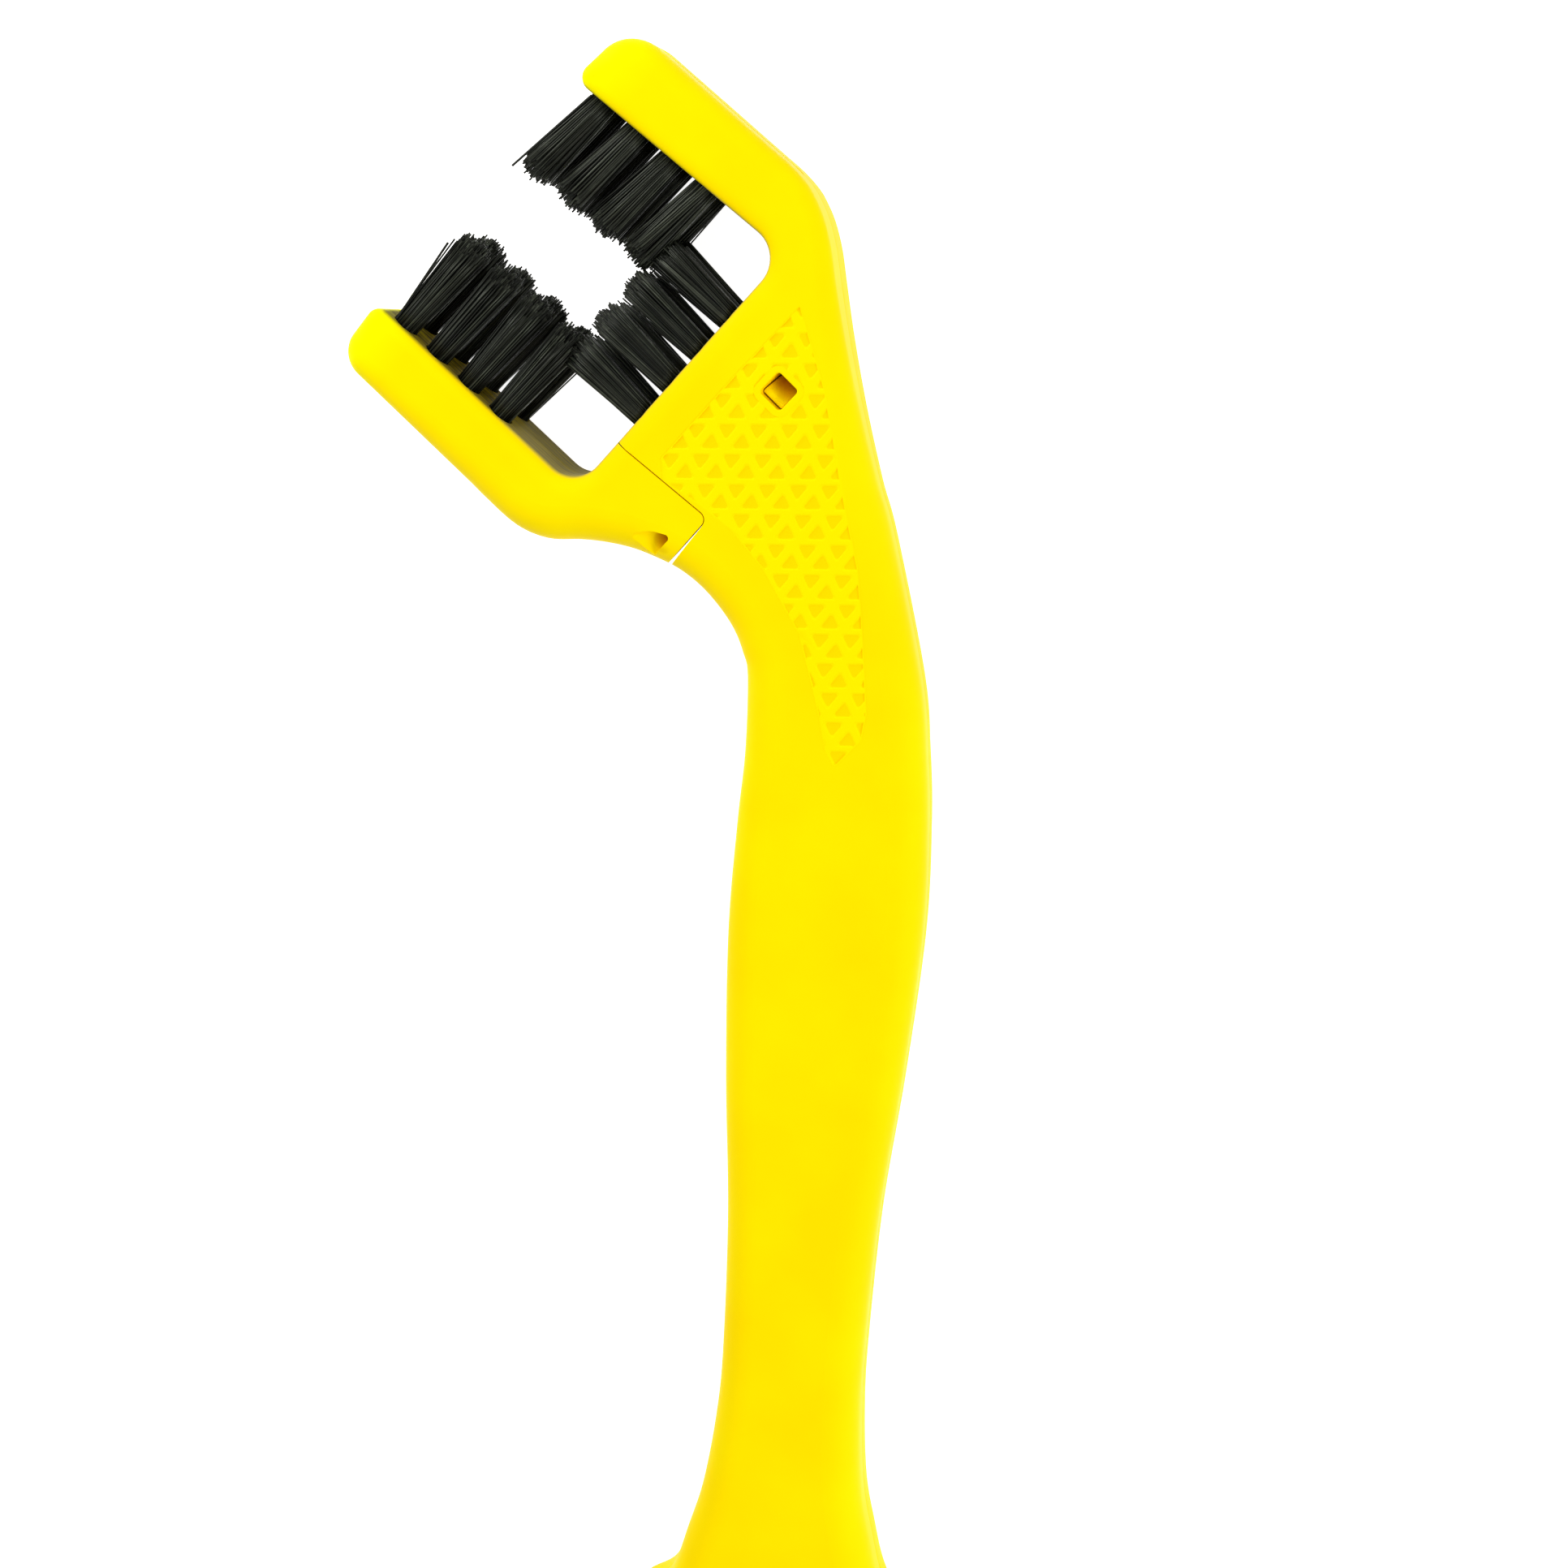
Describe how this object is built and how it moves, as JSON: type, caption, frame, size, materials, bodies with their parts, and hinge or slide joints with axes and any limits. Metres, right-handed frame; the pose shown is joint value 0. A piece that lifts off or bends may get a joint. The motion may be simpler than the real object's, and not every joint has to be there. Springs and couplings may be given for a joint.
{
  "type": "chain cleaning brush",
  "caption": "Hand brush with a square C-shaped head whose inner tufts scrub a bicycle chain from three sides, a clip-in lower jaw and a flat brush at the far end.",
  "frame": {"origin": "middle of the grip, on the back face that the brush lies on", "axes": "+Y along the grip towards the C-shaped head, +X to the right seen from the front, +Z out of the front face"},
  "size_m": [0.0772, 0.2619, 0.013],
  "materials": {
    "yellow_plastic": "satin moulded",
    "black_nylon": "bristle",
    "anchor_steel": "plain"
  },
  "bodies": {
    "handle": {"handle": "yellow_plastic", "upper_tuft_front_1": "black_nylon", "upper_tuft_front_2": "black_nylon", "upper_tuft_front_3": "black_nylon", "upper_tuft_front_4": "black_nylon", "upper_tuft_back_1": "black_nylon", "upper_tuft_back_2": "black_nylon", "upper_tuft_back_3": "black_nylon", "upper_tuft_back_4": "black_nylon", "web_tuft_front_1": "black_nylon", "web_tuft_front_2": "black_nylon", "web_tuft_front_3": "black_nylon", "web_tuft_front_4": "black_nylon", "web_tuft_back_1": "black_nylon", "web_tuft_back_2": "black_nylon", "web_tuft_back_3": "black_nylon", "web_tuft_back_4": "black_nylon", "upper_anchor_front_1": "anchor_steel", "upper_anchor_front_2": "anchor_steel", "upper_anchor_front_3": "anchor_steel", "upper_anchor_front_4": "anchor_steel", "upper_anchor_back_1": "anchor_steel", "upper_anchor_back_2": "anchor_steel", "upper_anchor_back_3": "anchor_steel", "upper_anchor_back_4": "anchor_steel", "web_anchor_front_1": "anchor_steel", "web_anchor_front_2": "anchor_steel", "web_anchor_front_3": "anchor_steel", "web_anchor_front_4": "anchor_steel", "web_anchor_back_1": "anchor_steel", "web_anchor_back_2": "anchor_steel", "web_anchor_back_3": "anchor_steel", "web_anchor_back_4": "anchor_steel", "end_bristles_front": "black_nylon", "end_bristles_back": "black_nylon"},
    "lower_jaw": {"lower_jaw": "yellow_plastic", "latch_finger": "yellow_plastic", "lower_tuft_front_1": "black_nylon", "lower_tuft_front_2": "black_nylon", "lower_tuft_front_3": "black_nylon", "lower_tuft_front_4": "black_nylon", "lower_tuft_back_1": "black_nylon", "lower_tuft_back_2": "black_nylon", "lower_tuft_back_3": "black_nylon", "lower_tuft_back_4": "black_nylon", "lower_anchor_front_1": "anchor_steel", "lower_anchor_front_2": "anchor_steel", "lower_anchor_front_3": "anchor_steel", "lower_anchor_front_4": "anchor_steel", "lower_anchor_back_1": "anchor_steel", "lower_anchor_back_2": "anchor_steel", "lower_anchor_back_3": "anchor_steel", "lower_anchor_back_4": "anchor_steel"}
  },
  "joints": [
    {"name": "jaw_release", "type": "slide", "parent": "handle", "child": "lower_jaw", "axis": [-0.6997, -0.7145, 0], "range_m": [0, 0.026], "deforming": ["latch_finger"]}
  ]
}
